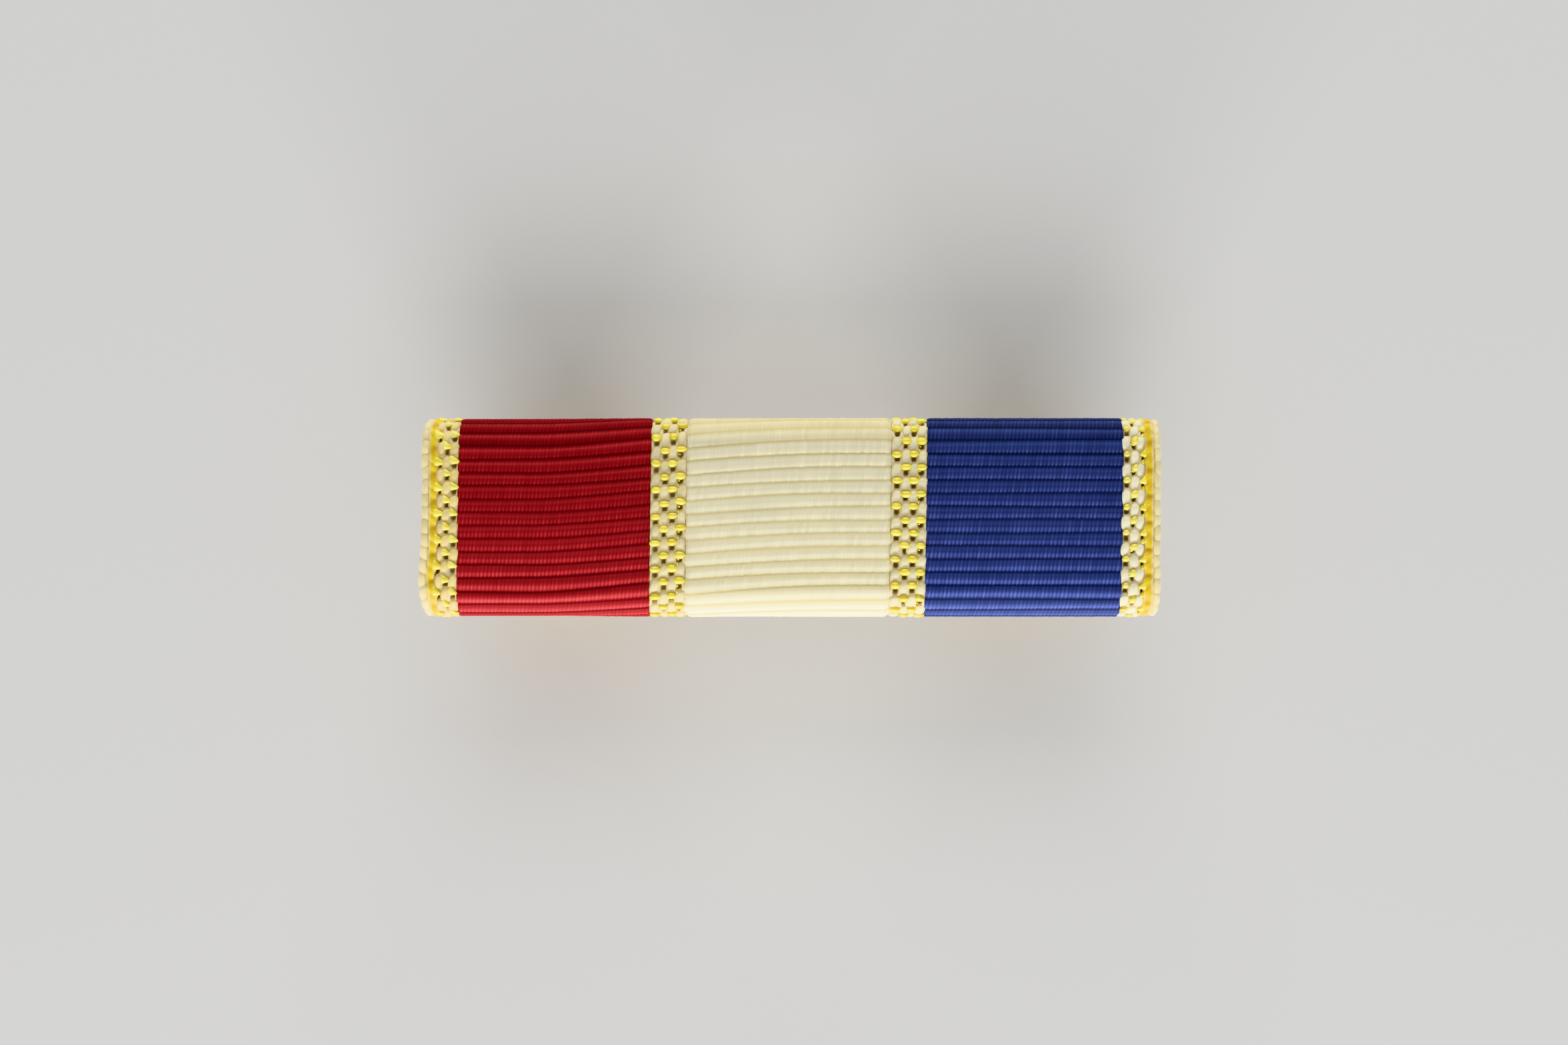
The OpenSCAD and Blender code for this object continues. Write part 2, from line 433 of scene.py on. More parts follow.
def piece(name, points, faces, finish, slot, *nodes, **marks):
    """A smooth mesh from points in metres, with its finish, and the CAD nodes that it stands for. slot is not
    used.
    """
    mesh = bpy.data.meshes.new(name)
    mesh.from_pydata(np.asarray(points).reshape(-1, 3).tolist(), [], faces)
    mesh.validate()
    for mark, values in marks.items():
        made = mesh.attributes.new(mark, "FLOAT", "POINT")
        made.data.foreach_set("value", np.ascontiguousarray(values, np.float32).ravel())
    mesh.shade_smooth()
    mesh.materials.append(finish)
    thing = bpy.data.objects.new(name, mesh)
    bpy.context.scene.collection.objects.link(thing)
    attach(thing, "root")
    if nodes:
        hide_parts(*nodes)
    return thing


def wrap(x, u, out, inner):
    """Closed cloth from a grid of outer points, with plain sides and a plain back at the level inner.
    Returns its points, its faces and how many of the last points are the back's."""
    rows, columns = out.shape
    outside = place(x, bowed(x, u), out).reshape(-1, 3)
    sides = x[:, [0, -1]]
    inside = place(sides, bowed(sides, u[:, [0, -1]]), np.full(sides.shape, inner)).reshape(-1, 3)
    base = rows * columns
    at = np.arange(base).reshape(rows, columns)
    faces = np.stack([at[:-1, :-1], at[:-1, 1:], at[1:, 1:], at[1:, :-1]], -1).reshape(-1, 4).tolist()
    for i in range(rows - 1):
        left, right = base + 2 * i, base + 2 * i + 1
        faces.append([left, i * columns, (i + 1) * columns, left + 2])
        end = i * columns + columns - 1
        faces.append([end, right, right + 2, end + columns])
        faces.append([right, left, left + 2, right + 2])
    last = (rows - 1) * columns
    faces.append([base + 1, *range(columns - 1, -1, -1), base])
    faces.append([base + 2 * rows - 2, *range(last, last + columns), base + 2 * rows - 1])
    return np.concatenate([outside, inside]), faces, 2 * rows


def padded_marks(plain, **marks):
    """A wrapped cloth's marks: those of its grid, and zeros for the points of its back."""
    return {name: np.concatenate([np.ravel(v), np.zeros(plain)]) for name, v in marks.items()}


def rib_rows(parts):
    """Places along the winding: the cut ends, and between them the given parts of each rib."""
    made = [groove_u(k + f) for k in RIBS for f in parts]
    kept = [u for u in made if abs(u) < PATH_HALF - END_MARGIN]
    return np.array([-PATH_HALF, *kept, PATH_HALF])


# The ribbed stripes: red, white and blue

RIB_PARTS = (0.0, 0.06, 0.16, 0.31, 0.5, 0.69, 0.84, 0.94)  # where in each rib the mesh has a row
RIBBED_IN = CLOTH_IN + 0.62  # their own back, within the ground cloth
RIBBED_SUNK = 0.012  # a little room between their crests and the CAD's
SWAY = 0.022  # how far the yarns sway along the bar from rib to rib
YARN_SLANT = 0.42  # how much of its width a yarn slants over one rib
CHANCES = 60  # more than there are ribs
LOWEST_RIB = -25  # lower than the lowest of them

# A silk's shade runs from 0, its bright colour, to 1, its dark one, and these tables paint light and shade
# into it. Their places run up the face, from its lower edge to its upper one. The first row is the ribs' base
# shade, changed up the face as painted shade and painted light; the others are painted highlights: how much
# brighter the upper side of each rib is, its lower side, and the strokes of the single yarns on its lower
# side.
PAINTED_SHEEN_AT = (-4.6, -4.0, -3.2, -2.0, -0.6, 0.8, 2.2, 3.4, 4.2)
RED_PAINTED_SHEEN = {
    "own": (0.79, 0.79, 0.85, 0.89, 0.90, 0.92, 0.97, 0.99, 1.0),
    "upper": (0.10, 0.10, 0.20, 0.42, 0.44, 0.38, 0.64, 0.86, 0.5),
    "lower": (0.50, 0.60, 0.54, 0.34, 0.16, 0.10, 0.14, -0.05, 0.05),
    "strokes": (0.20, 0.36, 0.46, 0.50, 0.44, 0.38, 0.30, 0.15, 0.1),
}
WHITE_PAINTED_SHEEN = {
    "own": (0.30, 0.66, 0.78, 0.70, 0.66, 0.60, 0.58, 0.6, 0.9),
    "upper": (0.00, 0.05, 0.08, 0.10, 0.12, 0.16, 0.28, 0.4, 0.3),
    "lower": (0.30, 0.50, 0.52, 0.44, 0.38, 0.36, 0.30, 0.1, 0.0),
    "strokes": (0.05, 0.08, 0.10, 0.10, 0.10, 0.10, 0.10, 0.1, 0.1),
}
BLUE_PAINTED_SHEEN = {
    "own": (0.86, 0.91, 0.90, 0.92, 0.93, 0.93, 0.92, 0.92, 0.99),
    "upper": (0.10, 0.10, 0.24, 0.26, 0.28, 0.24, 0.26, 0.34, 0.3),
    "lower": (0.40, 0.50, 0.44, 0.31, 0.26, 0.28, 0.24, 0.06, 0.0),
    "strokes": (0.24, 0.38, 0.46, 0.44, 0.40, 0.40, 0.34, 0.28, 0.1),
}
PAINTED_GLOOM_AT = (-4.4, -3.6, -2.5, 0.5, 2.0, 3.6)
PAINTED_GLOOM = (0.6, 0.15, 0.05, 0.3, 0.45, 0.85)  # how dark the painted shade in the grooves is at those places up the face


def ribbed_stripe(name, finish, slot, painted_sheen, per_yarn, yarn_rise, depth, fullness, edge_drop):
    """Warp yarns side by side over round weft cords, each yarn half a place over from rib to rib.
    per_yarn is the mesh's columns to a yarn and yarn_rise how far a yarn stands out. depth and fullness
    are how deep and how round the ribs are, and edge_drop is how far they sink at the stripe's two sides."""
    low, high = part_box(name)
    left, right = low.x / MM - JOIN, high.x / MM + JOIN
    count = round((right - left) / YARN)
    X, U = np.meshgrid(np.linspace(left, right, count * per_yarn + 1), rib_rows(RIB_PARTS))
    s = bowed(X, U)
    from_edge = np.minimum(X - left, right - X)

    # which rib a point is on, and where on it
    along = (U - GROOVE_AT) / RIB
    rib = np.floor(along + 1e-6)
    part = np.clip(along - rib, 0, 1)
    wave = 2 * part - 1
    bottom = math.sqrt(1 - fullness)
    height = (np.sqrt(1 - fullness * wave**2) - bottom) / (1 - bottom)

    # which yarn it is on, and where on it
    shift = np.where(rib % 2 == 0, 0.0, 0.5)
    slant = -YARN_SLANT * (part - 0.5)
    yarn = (X - left) / (right - left) * count + shift + slant
    which = np.floor(yarn).astype(int)
    across = 2 * (yarn - which) - 1
    roundness = np.sqrt(np.maximum(1 - 0.92 * across**2, 0))
    sway = SWAY * np.cos(math.pi * (along + 0.5)) * (1 - smooth(0, 0.4, from_edge))

    # chance: a tone for each yarn, partly its own on each rib, and a height for each rib
    rib_chance = rib.astype(int) - LOWEST_RIB
    single = rng.normal(0, 1, (CHANCES, count + 4))
    run = rng.normal(0, 1, count + 4)
    tone = np.clip(0.62 * single[rib_chance, which + 1] + 0.35 * run[which + 1], -1.5, 1.3)
    uneven = 1 + 0.10 * rng.normal(0, 1, CHANCES)[rib_chance]

    # the relief, flatter in the middle of the face
    opened = 0.50 + 0.50 * smooth(0.8, 3.6, np.abs(s))
    lower, upper = np.clip(-wave, 0, 1), np.clip(wave, 0, 1)
    lift = yarn_rise * (0.25 + 0.75 * lower**0.7 + 0.3 * upper) * smooth(0, 0.10, 1 - np.abs(wave))
    sunk = edge_drop * (1 - smooth(0, 0.06 + 1.4 * edge_drop, from_edge))
    out = CREST - RIBBED_SUNK - depth * 1.1 + depth * opened * uneven * height
    out = out - lift * (1 - roundness) + 0.006 * tone * height - sunk

    # the painted light and shade: the base shade up the face, painted highlights on each rib's upper and
    # lower side and on the yarns' strokes, and painted shade in the grooves
    look = {side: np.interp(s, PAINTED_SHEEN_AT, row) for side, row in painted_sheen.items()}
    stroke = 1 - smooth(0.15, 0.90, np.abs(across))
    upper_highlight = swell(0.72 - 0.022 * s, 0.13, part)
    lower_highlight = swell(np.clip(0.25 - 0.022 * s, 0.17, 0.33), np.clip(0.135 - 0.014 * s, 0.09, 0.18), part)
    shade = look["own"] - look["upper"] * upper_highlight * (0.8 + 0.2 * stroke)
    shade = shade - lower_highlight * (look["lower"] + look["strokes"] * (stroke - 0.35) * (1 + 0.15 * tone))
    # painted shade in the grooves: the shade goes to dark there, and the finish darkens them further by the
    # table up the face
    groove = 1 - smooth(0.04, 0.32, 1 - np.abs(wave))
    shade = np.clip(shade + (1 - shade) * groove, 0, 1)
    groove = groove * np.interp(s, PAINTED_GLOOM_AT, PAINTED_GLOOM)

    points, faces, plain = wrap(X + sway, U, out, RIBBED_IN)
    marks = padded_marks(plain, shade=shade, tone=tone, yarn=yarn, groove=groove)
    return piece(name + "_weave", points, faces, finish, slot, name, **marks)


stripes = [
    ribbed_stripe(
        "red_stripe",
        red_silk,
        "red_silk",
        RED_PAINTED_SHEEN,
        per_yarn=6,
        yarn_rise=0.05,
        depth=0.090,
        fullness=0.68,
        edge_drop=0.045,
    ),
    ribbed_stripe(
        "white_stripe",
        white_silk,
        "white_silk",
        WHITE_PAINTED_SHEEN,
        per_yarn=4,
        yarn_rise=0.010,
        depth=0.034,
        fullness=0.66,
        edge_drop=0.115,
    ),
    ribbed_stripe(
        "blue_stripe",
        blue_silk,
        "blue_silk",
        BLUE_PAINTED_SHEEN,
        per_yarn=6,
        yarn_rise=0.05,
        depth=0.085,
        fullness=0.68,
        edge_drop=0.045,
    ),
]


# The two gold bands and the two woven edges

INNER_BANDS = ("gold_band_left", "gold_band_right")
INWARD = {"edge_band_left": 1, "edge_band_right": -1}  # which way along the bar is in from each woven edge
EDGE_WIDTH = 1.78

# A column's kind, how far in its gold floats are, how far in its cream ovals are, and whether its floats
# are on the odd grooves
INNER_COLUMNS = (
    ("inner", 0.25, 0.23, 0),
    ("inner", 0.67, 0.67, 1),
    ("inner", 1.03, 1.03, 0),
    ("last", 1.39, 1.43, 1),
)
COLUMNS = {
    "gold_band_left": INNER_COLUMNS,
    "gold_band_right": INNER_COLUMNS,
    "edge_band_left": (
        ("near", 0.76, 0.93, 1),
        ("mid", 1.21, 1.21, 0),
        ("far", 1.57, 1.58, 1),
    ),
    "edge_band_right": (
        ("near_right", 0.80, 0.97, 0),
        ("mid_right", 1.25, 1.24, 1),
        ("far_right", 1.60, 1.64, 0),
    ),
}
BAND_EDGES = {node: tuple(corner.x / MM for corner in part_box(node)) for node in COLUMNS}

# The size, place and width of each bulge of a woven edge, the first of them the slack low on the left, and
# how far the edge stands out at its upper and at its lower corner
BULGES = {
    "edge_band_left": ((0.22, -2.85, 0.95), (0.03, -0.4, 0.7)),
    "edge_band_right": ((0.03, 2.5, 1.5),),
}
CORNERS = {"edge_band_left": (-0.14, -0.06), "edge_band_right": (0.03, -0.08)}


def edge_line(node, s):
    """How far the woven edge stands out beyond its straight line."""
    s = np.asarray(s, float)
    upper, lower = CORNERS[node]
    bulged = sum(size * swell(at, width, s) for size, at, width in BULGES[node])
    return bulged + upper * smooth(4.0, 5.0, s) + lower * smooth(4.2, 4.9, -s)


def across_band(node, inset, u):
    """Where a place in a band is along the bar: inset counts from its left side, or from its woven edge."""
    low, high = BAND_EDGES[node]
    if node in INNER_BANDS:
        return low + inset + 0 * np.asarray(u, float)
    outer = low if INWARD[node] > 0 else high
    slack = edge_line(node, bowed(outer, u)) * (1 - np.asarray(inset, float) / EDGE_WIDTH)
    return outer + INWARD[node] * (inset - slack)


def beads(centres, halves, level, shape, rings, around, turned=0.06):
    """Closed rounded beads on the cloth. Each centre is (x, u), each half is (along x, along s, outwards).
    shape moves a bead's points, which run from -1 to 1 along x, along s and outwards, and says how much
    painted shade and how pale each of them is. turned is how far a bead is turned by chance."""
    theta = np.linspace(0, math.pi, rings + 1)[1:-1]
    phi = np.linspace(0, 2 * math.pi, around, endpoint=False)
    ring = np.sin(theta)[:, None]
    p = np.concatenate([[-1.0], np.repeat(-np.cos(theta), around), [1.0]])
    q = np.concatenate([[0.0], (ring * np.cos(phi)).ravel(), [0.0]])
    o = np.concatenate([[0.0], (ring * np.sin(phi)).ravel(), [0.0]])
    o = np.where(o < 0, o * 0.45, o)
    tip = 1 + (rings - 2) * around
    one = []
    for j in range(around):
        after = (j + 1) % around
        one.append([0, 1 + after, 1 + j])
        one.append([tip + j, tip + after, tip + around])
        for r in range(rings - 2):
            a, b = 1 + r * around + j, 1 + r * around + after
            one.append([a, b, b + around, a + around])
    pp, qq, oo, dark, pale = shape(p, q, o)
    points, faces = [], []
    for i, ((x, u), half) in enumerate(zip(centres, halves)):
        turn = turned * rng.normal()
        along = x + half[0] * pp - turn * half[1] * qq
        points.append(place(along, bowed(x, u) + half[1] * qq + turn * half[0] * pp, level + half[2] * oo))
        faces += [[v + i * len(p) for v in f] for f in one]
    tones = np.repeat(rng.normal(0, 1, len(points)), len(p))
    # the groove mark carries the shapes' painted shade, and a loop's own tint next to the silk column; the
    # fade mark carries their paleness
    marks = {"tone": tones, "groove": np.tile(dark, len(points)), "fade": np.tile(pale, len(points))}
    return np.concatenate(points), faces, marks


def leaf(taper, lean, paleness=0.0):
    """A float that narrows by taper towards one side, its tip dropping by lean.
    It carries painted shade on its upper side.
    """

    def shape(p, q, o):
        tip = (p + 1) / 2 if taper >= 0 else (1 - p) / 2
        width = 1 - abs(taper) * tip**1.3
        across = q * width - lean * tip
        return p, across, o * (1 - 0.25 * abs(taper) * tip), smooth(-0.1, 0.8, q), paleness + 0 * p

    return shape


def tooth(side, drop, paleness):
    """A float that comes up out of the cloth on one side, pale there, and runs out to a low blunt point.
    It carries painted shade on its upper side, less when it is paler.
    """

    def shape(p, q, o):
        along = p * side
        ring = np.sqrt(np.maximum(1 - p * p, 1e-6))
        head = np.sqrt(np.clip(1 - (np.minimum(along + 0.45, 0) / 0.55) ** 2, 0, 1))
        tail = np.sqrt(np.clip(1 - (np.maximum(along - 0.7, 0) / 0.3) ** 2, 0, 1))
        taper = 1 - smooth(-0.5, 1.15, along) * 0.68
        width = head * tail * taper
        centre = -drop * (1 - taper)
        pale = paleness * (1 - smooth(-0.9, 0.3, along))
        risen = 0.35 + 0.65 * smooth(-1.0, 0.1, along)
        dark = smooth(0.1, 0.9, q / ring) * (1 - 0.6 * paleness)
        return p, q / ring * width + centre, o / ring * width**0.7 * risen, dark, pale

    return shape


def oval(p, q, o):
    """A bundle of cream yarn between two floats: squarish, flat on top, leaning a little to the right.
    It carries painted shade round its rim.
    """
    squareness = 2.7
    radius = np.hypot(p, q)
    square_radius = (np.abs(p) ** squareness + np.abs(q) ** squareness + 1e-9) ** (1 / squareness)
    grow = np.where(radius > 0.01, radius / square_radius, 1.0)
    q = q * grow
    return p * grow + 0.22 * q, q, o, 0.75 * smooth(0.45, 0.95, radius), 0 * p


def loop(inward):
    """A weft yarn's turn round the ribbon's edge, with painted shade where it meets its neighbours and a
    deeper yellow tint of its own next to the silk column.
    """

    def shape(p, q, o):
        dark = np.maximum(0.45 * smooth(0.25, 0.75, np.abs(q)), 0.8 * smooth(0.15, 0.95, p * inward))
        return p, q, o, dark, 0 * p

    return shape


# A float's half sizes along the bar, across it and outwards, and its shape
INNER_FLOAT = (0.265, 0.175, 0.165, leaf(0.12, 0.10))
FLOATS = {
    "inner": INNER_FLOAT,
    "last": INNER_FLOAT,
    "near": (0.31, 0.27, 0.17, tooth(1, 0.6, 0.1)),
    "mid": (0.25, 0.22, 0.16, tooth(1, 0.6, 1.0)),
    "far": (0.26, 0.20, 0.16, tooth(1, 0.6, 0.9)),
    "near_right": (0.21, 0.20, 0.15, tooth(-1, 0.5, 0.1)),
    "mid_right": (0.19, 0.20, 0.15, leaf(-0.25, 0.3, 0.25)),
    "far_right": (0.17, 0.155, 0.15, leaf(-0.15, 0.15, 0.25)),
}
# Small bits of gold thread beside a float: from its middle along the bar and across it, half sizes along
# and across, and lean
HOOKS = {
    "near_right": ((-0.06, -0.40, 0.10, 0.17, 0.4),),
    "mid_right": ((-0.13, -0.20, 0.12, 0.07, -0.5),),
    "last": ((-0.07, -0.25, 0.06, 0.05, -0.5), (-0.09, -0.47, 0.045, 0.11, 0.3)),
}
OVAL_YARN = {
    "gold_band_left": cream_yarn,
    "gold_band_right": pale_yarn,
    "edge_band_left": warm_yarn,
    "edge_band_right": white_yarn,
}
FLOAT_LEVEL = CREST - 0.135
HOOK_LEVEL = FLOAT_LEVEL - 0.02
OVAL_LEVEL = CREST - 0.245
FLOATS_STOP = 0.3  # how far before the cut ends the floats stop
OVALS_STOP = 0.36
HOOK_OUT = 0.10  # a hook's half size outwards
OVAL_HALF = (0.26, 0.38, 0.225)  # along the bar, across it, outwards
NEAR_OVAL_HALF = 0.235  # along the bar, next to the silk column
OVAL_BELOW = 0.76  # from a float's groove down to the oval under it
OFF_PLACE = 0.015  # how far floats and ovals are off their places by chance
OFF_SIZE = 0.06  # and by what share they are off their sizes


def float_grooves(odd):
    """The grooves that a column's floats lie on: every second one, nearly up to the cut ends."""
    return [k for k in RIBS if k % 2 == odd and abs(groove_u(k)) < PATH_HALF - FLOATS_STOP]


def gilt_floats(node, kind, inset, odd):
    """A column's gold floats, and the small hooks beside them."""
    half_x, half_s, half_out, shape = FLOATS[kind]
    centres, halves = [], []
    for k in float_grooves(odd):
        u = groove_u(k) + rng.normal(0, OFF_PLACE)
        centres.append((float(across_band(node, inset + rng.normal(0, OFF_PLACE), u)), u))
        halves.append((half_x * rng.normal(1, OFF_SIZE), half_s * rng.normal(1, OFF_SIZE), half_out))
    made = [beads(centres, halves, FLOAT_LEVEL, shape, 16, 20)]
    for dx, du, hook_x, hook_s, lean in HOOKS.get(kind, ()):
        small = [(x + dx + rng.normal(0, 0.012), u + du + rng.normal(0, 0.02)) for x, u in centres]
        small = [(x, u) for x, u in small if abs(u) < PATH_HALF - FLOATS_STOP]
        sizes = [(hook_x * rng.normal(1, 0.12), hook_s * rng.normal(1, 0.12), HOOK_OUT) for _ in small]
        made.append(beads(small, sizes, HOOK_LEVEL, leaf(-0.4, lean), 8, 12))
    return made


def cream_ovals(node, kind, inset, odd):
    """A column's bundles of cream yarn, each between two floats."""
    centres = []
    for k in float_grooves(odd):
        own_inset = inset + rng.normal(0, OFF_PLACE)
        u = groove_u(k) - OVAL_BELOW + rng.normal(0, OFF_PLACE)
        if abs(u) < PATH_HALF - OVALS_STOP:
            centres.append((float(across_band(node, own_inset, u)), u))
    half_x = NEAR_OVAL_HALF if kind.startswith("near") else OVAL_HALF[0]
    halves = []
    for _ in centres:
        wide, tall = half_x * rng.normal(1, OFF_SIZE), OVAL_HALF[1] * rng.normal(1, OFF_SIZE)
        halves.append((wide, tall, OVAL_HALF[2] * rng.normal(1, 0.05)))
    return beads(centres, halves, OVAL_LEVEL, oval, 12, 18)


def joined(parts):
    """Several meshes' points and faces as one, with those of their marks that the first of them has."""
    points, faces, start = [], [], 0
    for one_points, one_faces, _ in parts:
        points.append(one_points)
        faces += [[v + start for v in f] for f in one_faces]
        start += len(one_points)
    marks = {name: np.concatenate([marks[name] for _, _, marks in parts]) for name in parts[0][2]}
    return np.concatenate(points), faces, marks


for node, kinds in COLUMNS.items():
    slot = "gold_weave" if node in INNER_BANDS else "gold_edge"
    floats, ovals = [], []
    for kind, float_inset, oval_inset, odd in kinds:
        floats += gilt_floats(node, kind, float_inset, odd)
        ovals.append(cream_ovals(node, kind, oval_inset, odd))
    points, faces, marks = joined(floats)
    piece(node + "_gilt_floats", points, faces, gilt_thread, slot, node, **marks)
    points, faces, marks = joined(ovals)
    piece(node + "_cream_ovals", points, faces, OVAL_YARN[node], slot, node, **marks)


# The silk column and the selvedge of each woven edge

CORD_AROUND = 16  # points round a cord
CORD_ROWS = 640  # and along it
CORD_U = np.linspace(-PATH_HALF + END_MARGIN, PATH_HALF - END_MARGIN, CORD_ROWS)
CORD_RIBS = (CORD_U - GROOVE_AT) / RIB
CORD_PHI = np.linspace(0, 2 * math.pi, CORD_AROUND, endpoint=False)

SILK_INSET = {"edge_band_left": 0.57, "edge_band_right": 0.54}
SILK_LEVEL = CREST - 0.21
SILK_PLIES = 1.5  # how many plies pass on its top over one rib
SECOND_DIP = {"edge_band_left": 0.3, "edge_band_right": 0.8}  # every second tuck, as a share of the others

SELVEDGE_INSET = 0.25
SELVEDGE_LEVEL = CREST - 0.36
SELVEDGE_RADII = (0.21, 0.20)  # along the bar, outwards
LOOP_HALF = {"edge_band_left": (0.225, 0.50), "edge_band_right": (0.20, 0.56)}  # along the bar, across it
LOOP_OUT = 0.23  # a loop's half size outwards
LOOP_LEVEL = CREST - 0.29
LOOP_BELOW = 0.06  # from a groove down to its loop
LOOP_PAST = 0.005  # how far the loops reach out past the woven edge
LOOPS_STOP = 0.62  # how far before the cut ends the loops stop


def cord_mesh(path, radii, twist, depth):
    """A closed two-ply cord. At each of its places path gives (x, s, out), radii (across, outwards) and
    twist a full circle for each ply that has passed. depth is how far the plies bulge. Also returns how far
    between the plies each point is."""
    run = np.gradient(path, axis=0)
    run[:, 2] = 0
    run /= np.linalg.norm(run, axis=1)[:, None] + 1e-12
    side = np.stack([run[:, 1], -run[:, 0], np.zeros(CORD_ROWS)], -1)
    bulge = 0.5 + 0.5 * np.cos(twist[:, None] + 2 * CORD_PHI)
    size = (1 + depth * (bulge - 1))[..., None]
    ring = (
        path[:, None]
        + side[:, None] * (size * np.cos(CORD_PHI)[None, :, None] * radii[:, None, :1])
        + np.array([0, 0, 1.0]) * (size * np.sin(CORD_PHI)[None, :, None] * radii[:, None, 1:])
    )
    points = place(ring[..., 0], ring[..., 1], ring[..., 2]).reshape(-1, 3)
    at = np.arange(CORD_ROWS * CORD_AROUND).reshape(CORD_ROWS, CORD_AROUND)
    after = np.roll(at, -1, axis=1)
    faces = np.stack([at[:-1], after[:-1], after[1:], at[1:]], -1).reshape(-1, 4).tolist()
    faces.append(at[0, ::-1].tolist())
    faces.append(at[-1].tolist())
    return points, faces, 1 - bulge


def every_second(ribs):
    """1 at the even ribs and 0 at the odd ones, smooth between them."""
    return 0.5 + 0.5 * np.cos(math.pi * ribs)


def silk_column(node, x, s, ribs):
    """Mustard silk, tucked down by the floats beside it and partly covered by pale yarn on both sides."""
    near = every_second(ribs)
    dip = every_second(ribs - 0.72) ** 5 + SECOND_DIP[node] * every_second(ribs + 0.28) ** 5
    path = np.stack([x, s, SILK_LEVEL - 0.04 * dip], -1)
    radii = np.stack([0.24 + 0.04 * near, 0.16 + 0.05 * near], -1)
    twist = -INWARD[node] * 2 * math.pi * CORD_RIBS * SILK_PLIES
    points, faces, between = cord_mesh(path, radii, twist, 0.10)
    side = np.cos(CORD_PHI) * INWARD[node]
    covered = 0.9 * smooth(0.30, 0.95, -side) + (0.75 - 0.5 * near[:, None]) * smooth(0.35, 1.0, side)
    # the groove mark is painted shade in the tucks and between the plies; the pit mark is where pale yarn
    # covers the sides
    marks = {"groove": np.clip(dip[:, None] + 0.35 * between**2, 0, 1), "pit": covered}
    return piece(node + "_silk_column", points, faces, mustard_silk, "gold_edge", node, **marks)


def selvedge(node, s):
    """A two-ply cord along the ribbon's edge, and the loops of the weft yarn round it."""
    path = np.stack([across_band(node, SELVEDGE_INSET, CORD_U), s, np.full(CORD_ROWS, SELVEDGE_LEVEL)], -1)
    radii = np.full((CORD_ROWS, 2), SELVEDGE_RADII)
    twist = INWARD[node] * 2 * math.pi * CORD_RIBS
    points, faces, between = cord_mesh(path, radii, twist, 0.09)
    # the cord's groove mark: a deeper tint of its own all along, and painted shade between its plies
    cord = (points, faces, {"tone": np.zeros(len(points)), "groove": (0.4 + 0.5 * between**2).ravel()})
    loop_u = [groove_u(k) - LOOP_BELOW + rng.normal(0, 0.02) for k in RIBS]
    loop_u = [u for u in loop_u if abs(u) < PATH_HALF - LOOPS_STOP]
    half_x, half_s = LOOP_HALF[node]
    centres = [(float(across_band(node, half_x - LOOP_PAST + rng.normal(0, 0.018), u)), u) for u in loop_u]
    halves = []
    for _ in centres:
        wide, tall = half_x * rng.normal(1, 0.04), half_s * rng.normal(1, 0.05)
        halves.append((wide, tall, LOOP_OUT * rng.normal(1, 0.04)))
    loops = beads(centres, halves, LOOP_LEVEL, loop(INWARD[node]), 14, 20, turned=0.03)
    points, faces, marks = joined([cord, loops])
    return piece(node + "_selvedge", points, faces, edge_yarn, "gold_edge", node, **marks)


for node, inward in INWARD.items():
    ribs = CORD_RIBS - COLUMNS[node][0][3]
    x = across_band(node, SILK_INSET[node], CORD_U) + inward * 0.05 * every_second(ribs)
    s = bowed(x, CORD_U)
    silk_column(node, x, s, ribs)
    selvedge(node, s)


# The ground cloth under all of them

GROUND_PARTS = (0.0, 0.12, 0.24, 0.36, 0.48, 0.60, 0.72, 0.84)  # where in each rib the mesh has a row
GROUND_LEVEL = CREST - 0.138
UNDER_STRIPES = 0.2  # how much lower it lies under the stripes and the edges
BAND_COLUMNS = 33  # columns of its mesh in each band
PIT_BELOW = 0.27  # from a float's groove down to the pit under it
PIT_HALF = (0.125, 0.15)  # along the bar, across it
PIT_SHIFT = {"near": 0.12, "mid": 0.04}  # how much further in than its floats a kind's pits are
PIT_DEPTH = 0.26
LEFT_PIT_SHADE = 0.74  # how strong the painted shade in the pits on the bar's left half is
EDGE_SUNK = 0.75  # how wide the part of each woven edge is that lies sunk under its silk and selvedge


def ground_columns():
    """Places along the bar: close together in each band, and none between the bands."""
    columns = []
    for low, high in BAND_EDGES.values():
        columns += [low - 0.10, low - 0.04, *np.linspace(low + 0.005, high - 0.005, BAND_COLUMNS)]
        columns += [high + 0.04, high + 0.10]
    columns = np.array(sorted(columns))
    return columns[np.abs(columns) < cad_high.x / MM - 0.2]


def pits(X, U):
    """1 in the gaps of the open weave, which are sunk and carry dark painted shade, and 0 away from them."""
    pit = np.zeros(X.shape)
    for node, kinds in COLUMNS.items():
        for kind, float_inset, _, odd in kinds:
            for k in float_grooves(odd):
                u = groove_u(k) - PIT_BELOW
                x = float(across_band(node, float_inset + PIT_SHIFT.get(kind, 0.0), u))
                far = np.hypot((X - x) / PIT_HALF[0], (U - u) / PIT_HALF[1])
                pit = np.maximum(pit, 1 - smooth(0.5, 1.4, far))
    return pit


def in_a_band(X):
    """1 where the cloth comes up between the gold threads and 0 where it lies under a stripe or an edge."""
    raised = np.zeros(X.shape)
    for node, (low, high) in BAND_EDGES.items():
        start = low + EDGE_SUNK if node == "edge_band_left" else low - 0.04
        end = high - EDGE_SUNK if node == "edge_band_right" else high + 0.04
        raised = np.maximum(raised, smooth(start, start + 0.045, X) * smooth(-end, 0.045 - end, -X))
    return raised


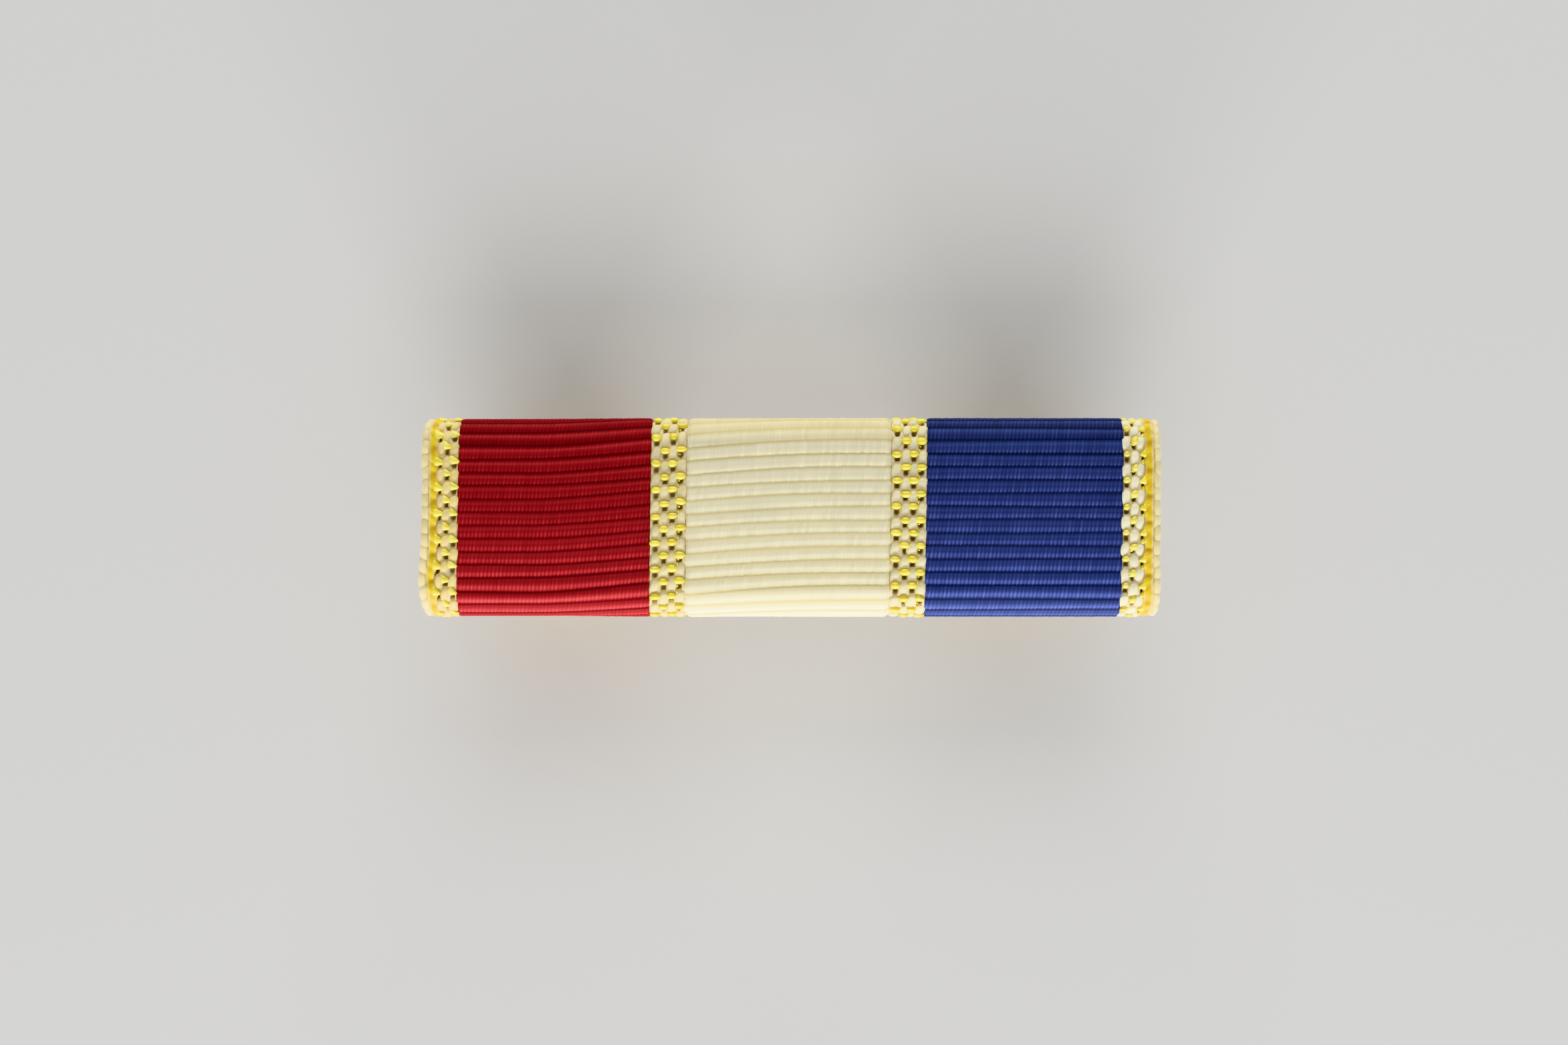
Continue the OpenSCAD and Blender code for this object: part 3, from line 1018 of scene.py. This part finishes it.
X, U = np.meshgrid(ground_columns(), rib_rows(GROUND_PARTS))
wave = np.cos(2 * math.pi * (U - GROOVE_AT) / RIB)
pit = pits(X, U)
out = GROUND_LEVEL - 0.025 * wave - PIT_DEPTH * pit - UNDER_STRIPES * (1 - in_a_band(X))
points, faces, plain = wrap(X, U, out, CLOTH_IN)
# the ground's own colour lies halfway to its shade colour; painted shade darkens the weft's grooves, and dark
# painted shade fills the pits, less on the bar's left half
marks = padded_marks(plain, groove=0.5 + 0.5 * wave, pit=pit * np.where(X < 0, LEFT_PIT_SHADE, 1))
ground = piece("ground_cloth", points, faces, ground_yarn, "gold_weave", **marks)
2 * PATH_HALF * MM


# The metal, which keeps its CAD shapes

for node, finish in (
    ("core_plate", rolled_brass),
    ("back_plate", brushed_brass),
    ("clutch_left", polished_brass),
    ("clutch_right", polished_brass),
):
    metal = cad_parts[node]
    metal.data.materials.clear()
    metal.data.materials.append(finish)


# Floor and light, in metres

FLOOR = 1.5  # half its width
floor_corners = [(-FLOOR, -FLOOR, 0), (FLOOR, -FLOOR, 0), (FLOOR, FLOOR, 0), (-FLOOR, FLOOR, 0)]
floor_mesh = bpy.data.meshes.new("floor")
floor_mesh.from_pydata(floor_corners, [], [(0, 1, 2, 3)])
floor_paint = Paint("pale_floor", Base_Color=(0.66, 0.665, 0.67), Roughness=0.7, Specular_IOR_Level=0.2)
floor_mesh.materials.append(floor_paint.material)
floor = bpy.data.objects.new("floor", floor_mesh)
bpy.context.scene.collection.objects.link(floor)


def soft_light(name, where, size, power, colour):
    """A rectangular lamp that faces the bar."""
    light = bpy.data.lights.new(name, "AREA")
    light.shape = "RECTANGLE"
    light.size, light.size_y = size
    light.energy = power
    light.color = colour
    lamp = bpy.data.objects.new(name, light)
    lamp.location = where
    aim = -lamp.location
    aim.z += MID_Z * MM
    lamp.rotation_euler = aim.to_track_quat("-Z", "Y").to_euler()
    bpy.context.scene.collection.objects.link(lamp)


soft_light("front_strip", (0.0, -0.50, 0.080), (0.55, 0.05), 4.6, (1.0, 0.985, 0.96))
soft_light("rear_strip", (0.0, 0.50, 0.080), (0.55, 0.035), 1.75, (0.95, 0.94, 0.88))
soft_light("front_softbox", (0.0, -0.36, 0.36), (0.35, 0.20), 0.60, (1.0, 0.99, 0.98))
soft_light("rear_softbox", (0.0, 0.36, 0.36), (0.35, 0.20), 0.40, (1.0, 0.99, 0.98))

world = bpy.data.worlds.new("studio")
bpy.context.scene.world = world
world.use_nodes = True
background = world.node_tree.nodes["Background"]
background.inputs["Color"].default_value = (1.0, 0.99, 0.97, 1.0)
background.inputs["Strength"].default_value = 0.46
bpy.context.scene.view_settings.view_transform = "Khronos PBR Neutral"
